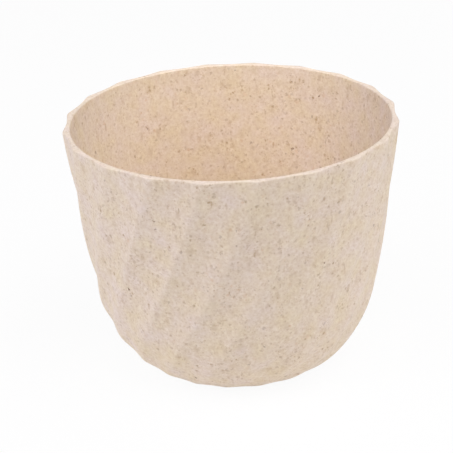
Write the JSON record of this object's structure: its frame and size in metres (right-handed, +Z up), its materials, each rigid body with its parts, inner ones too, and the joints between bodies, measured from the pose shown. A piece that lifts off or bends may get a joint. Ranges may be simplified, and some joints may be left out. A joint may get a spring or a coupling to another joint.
{
  "type": "plant pot",
  "caption": "Round tapered plant pot moulded from speckled plant-fibre composite, with spiral flutes round its outside and a pull-out stopper in the drain hole of its floor.",
  "frame": {"origin": "centre of the foot ring, on the surface that the pot stands on", "axes": "+Z up along the pot's axis, -Y towards the side seen in front, +X to its right"},
  "size_m": [0.1386, 0.1386, 0.108],
  "materials": {
    "fibre_composite": "matte cream with fine dark fibre specks",
    "plug_rubber": "soft matte"
  },
  "bodies": {
    "pot": {"pot_shell": "fibre_composite"},
    "plug": {"drain_plug": "plug_rubber"}
  },
  "joints": [
    {"name": "plug_pull", "type": "slide", "parent": "pot", "child": "plug", "axis": [0, 0, 1], "range_m": [0, 0.12]}
  ]
}
